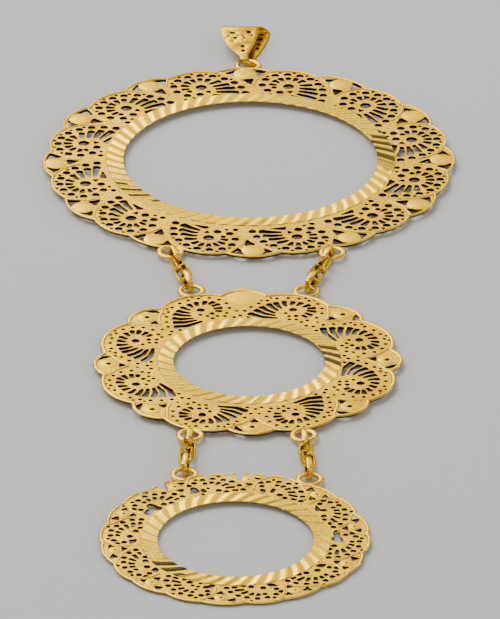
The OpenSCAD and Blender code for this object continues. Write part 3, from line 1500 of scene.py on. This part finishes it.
# Where bridges are worn through, the middle of a rosette is one or two ragged gaps, here by its number
LOW_WORN: dict[int, tuple[Hole, ...]] = {
    0: (
        LOW_SIDE,
        patch(
            (-2.8, -0.35), (-1.9, -0.15), (-1.1, -0.1), (-0.4, 0.3), (0.3, 0.3), (0.3, -0.3), (-0.15, -1.0),
            (-0.7, -1.05), (-1.2, -0.75), (-2.0, -0.95), (-2.7, -0.8),
        ),
    ),
    1: (
        LOW_SIDE,
        patch(
            (-1.5, 0.05), (-1.1, -0.35), (-0.6, -0.7), (-0.1, -0.7), (0.0, -0.2), (0.35, 0.0), (0.3, 0.5),
            (-0.1, 0.5), (-0.35, -0.1), (-0.9, 0.0),
        ),
    ),
    2: (
        LOW_SIDE,
        patch((-1.6, -0.1), (-0.95, -0.05), (-0.7, -0.7), (-0.85, -1.2), (-1.3, -0.75)),
        patch((-0.05, 0.6), (0.4, 0.6), (0.45, -0.4), (0.0, -0.45)),
    ),
    3: (
        patch((-2.5, -0.5), (-2.3, 0.1), (-2.05, 0.9), (-1.6, 1.0), (-1.3, 0.4), (-1.2, -0.3), (-1.85, -0.6)),
        patch((-0.85, 0.1), (-0.4, 0.3), (-0.2, -0.6), (-0.75, -0.8)),
        *rounds(0.42, (0.25, 0.25), (-0.9, -1.3)),
    ),
    4: (
        LOW_SIDE,
        patch(
            (-2.4, -0.2), (-1.8, -0.1), (-1.2, 0.05), (-0.8, 0.0), (-0.5, 0.65), (0.15, 0.8), (0.45, 0.4),
            (0.35, -0.3), (0.5, -1.1), (-0.2, -1.3), (-0.7, -0.8), (-1.3, -1.0), (-1.8, -1.25), (-2.2, -0.8),
        ),
    ),
    7: (
        LOW_SIDE,
        patch(
            (-2.05, -0.85), (-1.85, -0.2), (-0.85, 0.05), (-0.8, -0.4), (-1.3, -0.7), (-1.55, -1.35),
            (-1.95, -1.3),
        ),
        *rounds(0.45, (0.0, 0.85), (0.8, -0.05), (0.0, -1.0), (0.0, 0.0)),
    ),
}


def low_rosette(tier: Tier, index: int) -> tuple[Hole, ...]:
    """The holes of one rosette of the bottom tier, worn or whole."""
    return LOW_WORN.get(index, LOW_HEART) + tier.holes


BOTTOM = Tier(
    name="bottom",
    node="bottom_frame",
    centre=(-1.91, -69.65),
    pattern=(-0.08, 0.2),
    count=10,
    rosette_radius=14.8,
    rosette_turn=-2.4,
    scallop_turn=-3.1,
    scallop_out=12.7,
    scallop_radius=6.5,
    disc_scallop_out=11.7,
    disc_scallop_radius=7.5,
    sheet_radius=15.5,
    holes=LOW_HOLES,
    discs=Discs(
        radius=17.2,
        turn=11.5,
        width=1.9,
        rise=0.08,
        hole=0.4,
        gaps=(
            patch((0.8, 0.8), (1.75, 0.5), (1.1, -0.1)),
            patch((-2.05, 1.1), (-0.95, 0.52), (-2.0, -0.1)),
            patch((-0.48, -0.75), (0.75, -1.15), (0.15, -1.85)),
        ),
        arms=(
            ((-3.9, 0.7), (-2.55, -0.1), (-1.2, -0.7), (-0.7, -1.4), (-0.3, -2.2)),
            ((2.6, 0.9), (1.9, 0.1), (1.25, -0.75), (1.05, -1.6), (1.0, -2.7)),
        ),
        lost=((2, 1), (3, 1)),
    ),
    ring=CutRing(
        inner=10.95, width=2.5, facets=36, slant=8.6, depth=0.12,
        streaks=(
            Streak(-140, 7.0), Streak(-130.4, 6.6), Streak(-121.5, 5.0, 0.55),
            Streak(-151, 4.0, 0.0, 0.2, 0.4), Streak(-46.8, 2.6, 0.1, 1.0, 0.35),
            Streak(-36.5, 2.6, 0.1, 1.0, 0.28), Streak(-24, 2.6, 0.0, 0.8, 0.35),
            Streak(-13, 2.6, 0.0, 0.6, 0.28),
        ),
    ),
    loops=LOW_LOOPS,
    rim=0.5,
    lean_from=LOW_EDGE,
    lean=math.degrees(math.asin(Tier.lift / (LOW_LOOPS[0][1] - LOW_EDGE))),
    sheet_under=0.0,
    worn=low_rosette,
    notches=(
        Notch(67.3, 2.4, 0.7), Notch(76.1, 2.2, 0.5), Notch(82.6, 2.8, 0.7), Notch(88.0, 4.0, 1.8),
        Notch(92.6, 3.0, 0.8), Notch(102.1, 2.0, 0.8), Notch(107.4, 2.0, 0.4), Notch(114.2, 2.2, 0.6),
        Notch(118.6, 2.0, 0.4), Notch(124.2, 4.0, 1.8), Notch(130.5, 2.0, 0.7), Notch(135.5, 1.8, 0.6),
        Notch(149.6, 2.2, 0.7),
    ),
)


def loop_of(tier: Tier, index: int) -> Point:
    """Where one loop's centre lies on the surface."""
    return tier.centre[0] + tier.loops[index][0], tier.centre[1] + tier.loops[index][1]


CHAINS = (
    Chain("link_upper_left", loop_of(TOP, 1), loop_of(MIDDLE, 0), 1),
    Chain("link_upper_right", loop_of(TOP, 2), loop_of(MIDDLE, 1), -1),
    Chain("link_lower_left", loop_of(MIDDLE, 2), loop_of(BOTTOM, 0), 1),
    Chain("link_lower_right", loop_of(MIDDLE, 3), loop_of(BOTTOM, 1), -1),
)

BAIL = LeafBail(
    node="bail",
    loop=loop_of(TOP, 0),
    front=(
        (-1.85, 6.45, 0.6), (-0.68, 2.9, 0.6), (-2.8, 6.95, 0.36), (-1.5, 7.15, 0.36), (-0.65, 7.15, 0.36),
        (0.6, 7.15, 0.36), (-0.5, 6.5, 0.36), (-2.3, 5.5, 0.36),
    ),
    back=((1.3, 6.5, 0.55), (2.6, 9.9, 0.36)),
    large=(
        (-2.25, 7.8, 0.8), (0.16, 8.05, 0.8), (-0.77, 4.15, 0.7), (2.0, 10.9, 0.8), (1.8, 9.35, 0.75),
        (1.5, 7.8, 0.65),
    ),
)


@dataclass(frozen=True)
class SoftLight:
    """One soft light: its place, width and height in metres, and its power in watts."""

    name: str
    place: Place
    width: float
    height: float
    power: float
    colour: Colour = (1.0, 1.0, 1.0)

    def make(self) -> None:
        """Hang the light and turn it to the pendant."""
        Bench.clear()
        bpy.ops.object.light_add(type="AREA", location=self.place)
        light = bpy.context.object
        light.name = self.name
        light.data.shape = "RECTANGLE"
        light.data.size, light.data.size_y = self.width, self.height
        light.data.energy = self.power
        light.data.color = self.colour
        light.rotation_euler = (-Vector(self.place)).to_track_quat("-Z", "Y").to_euler()


@dataclass(frozen=True)
class Studio:
    """The pale floor, the soft light and the camera at the photograph's angle.

    Elevation is in degrees, distance and the floor's size in metres, and the aim, the height of the frame
    and the sensor in millimetres.
    """

    elevation: float = 27.66
    distance: float = 3.0
    frame_height: float = 88.95
    sensor: float = 36.0
    aim: Place = (0.13, -0.64, 0.95)
    lights: tuple[SoftLight, ...] = (
        SoftLight("roof_light", (-0.4, 0.4, 0.9), 0.9, 0.9, 8.5),
        SoftLight("back_light", (0.0, 1.0, 0.53), 0.8, 0.5, 1.6),
        SoftLight("back_glint", (-0.12, 0.92, 0.49), 0.08, 0.34, 0.75),
        SoftLight("left_glint", (-0.55, 0.65, 0.45), 0.12, 0.12, 0.6, (1.0, 0.98, 0.95)),
        SoftLight("right_glint", (0.65, 0.5, 0.5), 0.12, 0.12, 0.5),
        SoftLight("front_light", (0.4, -1.0, 0.4), 1.4, 0.8, 3.6),
        SoftLight("left_light", (-1.1, -0.15, 0.45), 0.7, 0.6, 1.4),
        SoftLight("right_light", (1.1, -0.1, 0.45), 0.7, 0.6, 1.4),
    )
    sky: float = 0.32
    sky_colour: Colour = (1.0, 0.99, 0.97)
    floor_size: float = 6.0

    def make(self) -> None:
        """Set the whole scene up."""
        self._floor()
        for light in self.lights:
            light.make()
        self._sky()
        self._camera()

    def _floor(self) -> None:
        """Lay the floor."""
        Bench.clear()
        bpy.ops.mesh.primitive_plane_add(size=self.floor_size, location=(0, 0, 0))
        floor = bpy.context.object
        floor.name = "floor"
        floor.data.materials.append(PaleFloor().material())

    def _sky(self) -> None:
        """Fill the room with even light."""
        world = bpy.data.worlds.new("soft_room")
        world.use_nodes = True
        background = world.node_tree.nodes["Background"]
        background.inputs["Color"].default_value = (*self.sky_colour, 1)
        background.inputs["Strength"].default_value = self.sky
        bpy.context.scene.world = world

    def _camera(self) -> None:
        """Put the camera where the photograph was taken from."""
        Bench.clear()
        aim = Vector(self.aim) * MM
        tilt = math.radians(self.elevation)
        back = Vector((0, -math.cos(tilt), math.sin(tilt)))
        bpy.ops.object.camera_add(location=aim + back * self.distance)
        camera = bpy.context.object
        camera.name = "photo_camera"
        camera.data.sensor_width = self.sensor
        camera.data.lens = self.sensor * self.distance / (self.frame_height * MM)
        camera.rotation_euler = (math.radians(90 - self.elevation), 0, 0)
        bpy.context.scene.camera = camera


def main() -> None:
    """Make every piece in order and log each one's count of faces."""
    logging.basicConfig(level=logging.INFO, format="%(name)s: %(message)s")
    Bench.clear()
    Studio().make()
    for maker in (*(TierMaker(tier) for tier in (TOP, MIDDLE, BOTTOM)), *CHAINS, BAIL):
        for piece in maker.make():
            log.info("made %s: %d faces", piece.name, len(piece.data.polygons))


if __name__ == "__main__":
    main()
